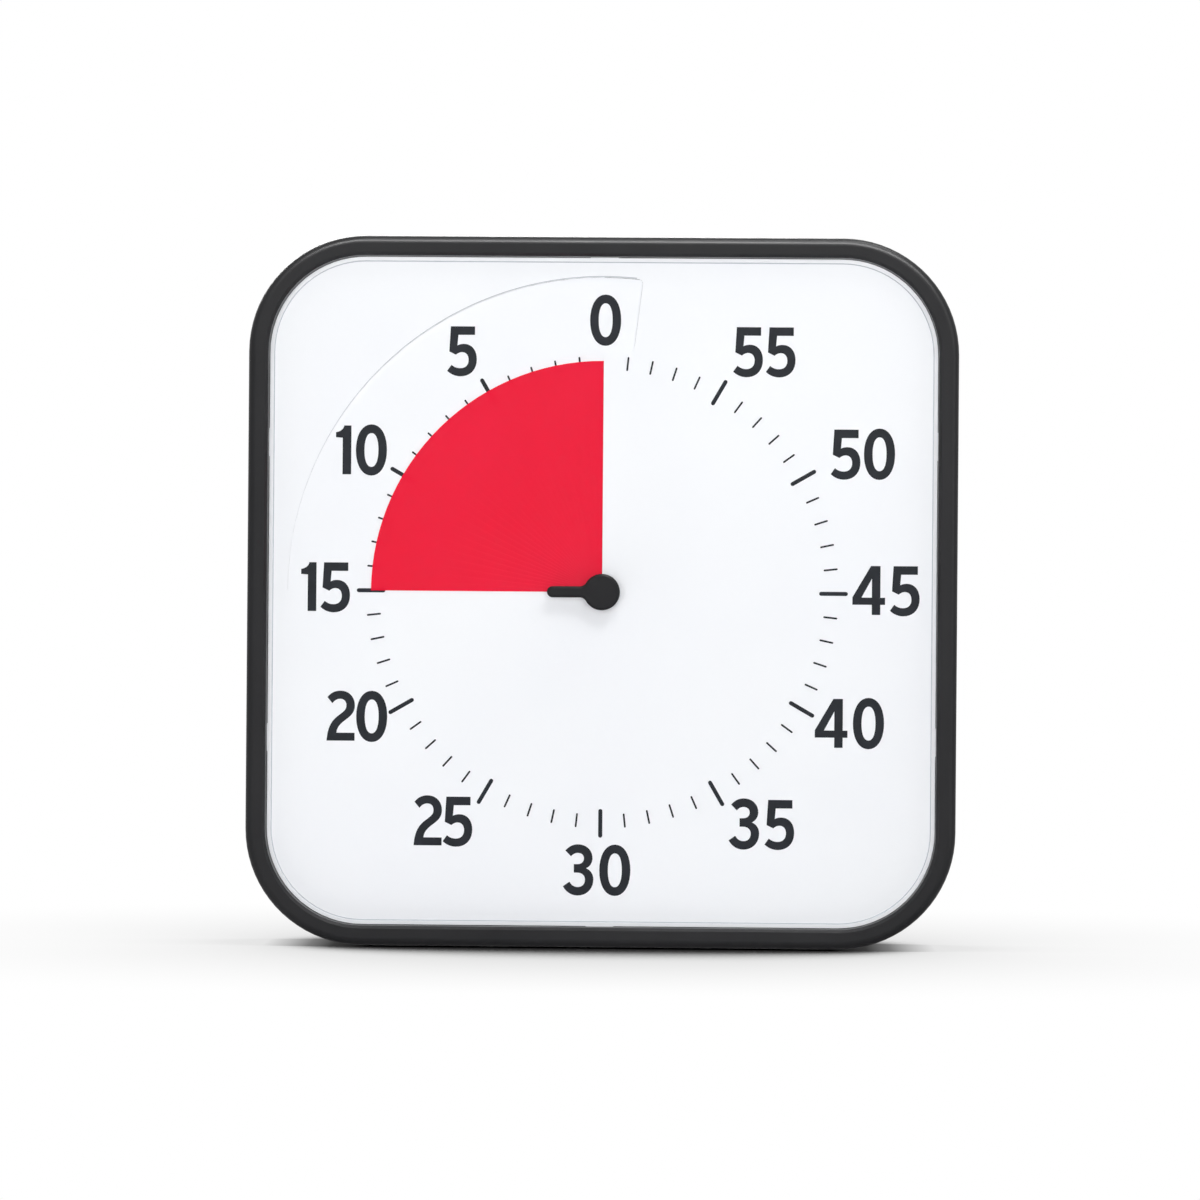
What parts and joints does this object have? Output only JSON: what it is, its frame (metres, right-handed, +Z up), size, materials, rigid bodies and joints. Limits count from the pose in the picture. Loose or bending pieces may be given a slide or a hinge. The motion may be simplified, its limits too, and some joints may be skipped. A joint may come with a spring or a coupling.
{
  "type": "visual countdown timer",
  "caption": "Square table and wall countdown timer: black rim, white dial with numbers and ticks, red disc that winds out of a slit, knob with pointer.",
  "frame": {"origin": "centre of the footprint on the surface that the timer stands on", "axes": "+Z up, the dial faces -Y, +X to the right as seen from the front"},
  "size_m": [0.305, 0.0446, 0.3055],
  "materials": {
    "housing_black": "fine moulded texture",
    "knob_black": "satin moulded",
    "dial_white": "smooth satin with printed numbers and ticks",
    "disc_red": "translucent satin sheet",
    "hub_plastic": "natural acetal",
    "brass": "turned",
    "spring_steel": "plated",
    "gear_plastic": "natural acetal",
    "magnet": "sintered",
    "soft_iron": "stamped",
    "copper_wire": "enamelled winding",
    "board_green": "solder mask",
    "case_plastic": "moulded",
    "battery_wrap": "plain shrink wrap",
    "switch_plastic": "moulded",
    "switch_grey": "moulded",
    "lead_red": "insulated wire",
    "screw_steel": "zinc plated",
    "pad_rubber": "matt"
  },
  "bodies": {
    "housing": {"front_frame": "housing_black", "dial_plate": "dial_white", "recess_ramp": "dial_white", "rear_cover": "housing_black", "movement_case": "case_plastic", "movement_cover": "case_plastic", "shaft_bush": "brass", "stator": "soft_iron", "coil": "copper_wire", "circuit_board": "board_green", "quartz_crystal": "spring_steel", "timer_chip": "knob_black", "positive_contact": "spring_steel", "negative_contact": "spring_steel", "aa_battery": "battery_wrap", "alert_switch_body": "switch_plastic", "sounder_disc": "brass", "sounder_leads": "lead_red", "foot_pins": "screw_steel", "base_pads": "pad_rubber", "housing_screws": "screw_steel", "movement_screws": "screw_steel"},
    "setting": {"setting_knob": "knob_black", "disc_hub": "hub_plastic", "main_shaft": "brass", "clutch_spring": "spring_steel"},
    "disc": {"red_disc": "disc_red"},
    "centre_gear": {"centre_wheel": "gear_plastic"},
    "third_gear": {"third_wheel": "gear_plastic"},
    "second_gear": {"second_wheel": "gear_plastic"},
    "intermediate_gear": {"intermediate_wheel": "gear_plastic"},
    "motor_rotor": {"rotor": "magnet"},
    "door": {"battery_door": "housing_black"},
    "switch": {"alert_switch_knob": "switch_grey"},
    "left_foot": {"foot_left": "housing_black"},
    "right_foot": {"foot_right": "housing_black"}
  },
  "joints": [
    {"name": "knob_turn", "type": "hinge", "parent": "housing", "child": "setting", "pos_m": [0, 0, 0.153], "axis": [0, -1, 0], "range_deg": [-90, 270]},
    {"name": "disc_feed", "type": "slide", "parent": "setting", "child": "disc", "axis": [0, -1, 0], "range_m": [-0.00161, 0.00481]},
    {"name": "rotor_spin", "type": "hinge", "parent": "housing", "child": "motor_rotor", "pos_m": [0.01033, 0, 0.1396], "axis": [0, -1, 0], "continuous": true},
    {"name": "intermediate_spin", "type": "hinge", "parent": "housing", "child": "intermediate_gear", "pos_m": [0.00357, 0, 0.13714], "axis": [0, -1, 0], "continuous": true},
    {"name": "second_spin", "type": "hinge", "parent": "housing", "child": "second_gear", "pos_m": [-0.0048, 0, 0.13641], "axis": [0, -1, 0], "continuous": true},
    {"name": "third_spin", "type": "hinge", "parent": "housing", "child": "third_gear", "pos_m": [-0.0118, 0, 0.14474], "axis": [0, -1, 0], "continuous": true},
    {"name": "centre_spin", "type": "hinge", "parent": "housing", "child": "centre_gear", "pos_m": [0, 0, 0.153], "axis": [0, -1, 0], "continuous": true},
    {"name": "door_hinge", "type": "hinge", "parent": "housing", "child": "door", "pos_m": [0, 0.0206, 0.1084], "axis": [-1, 0, 0], "range_deg": [0, 90]},
    {"name": "alert_slide", "type": "slide", "parent": "housing", "child": "switch", "axis": [1, 0, 0], "range_m": [0, 0.004]},
    {"name": "left_foot_swing", "type": "hinge", "parent": "housing", "child": "left_foot", "pos_m": [-0.088, 0.01355, 0.003], "axis": [0, 0, 1], "range_deg": [0, 90]},
    {"name": "right_foot_swing", "type": "hinge", "parent": "housing", "child": "right_foot", "pos_m": [0.088, 0.01355, 0.003], "axis": [0, 0, -1], "range_deg": [0, 90]}
  ],
  "couplings": [
    {"joint": "disc_feed", "follows": "knob_turn", "m_per_rad": 0.0010186},
    {"joint": "intermediate_spin", "follows": "rotor_spin", "ratio": -0.2},
    {"joint": "second_spin", "follows": "rotor_spin", "ratio": 0.033333},
    {"joint": "third_spin", "follows": "rotor_spin", "ratio": -0.0044444},
    {"joint": "centre_spin", "follows": "rotor_spin", "ratio": 0.00055556}
  ]
}
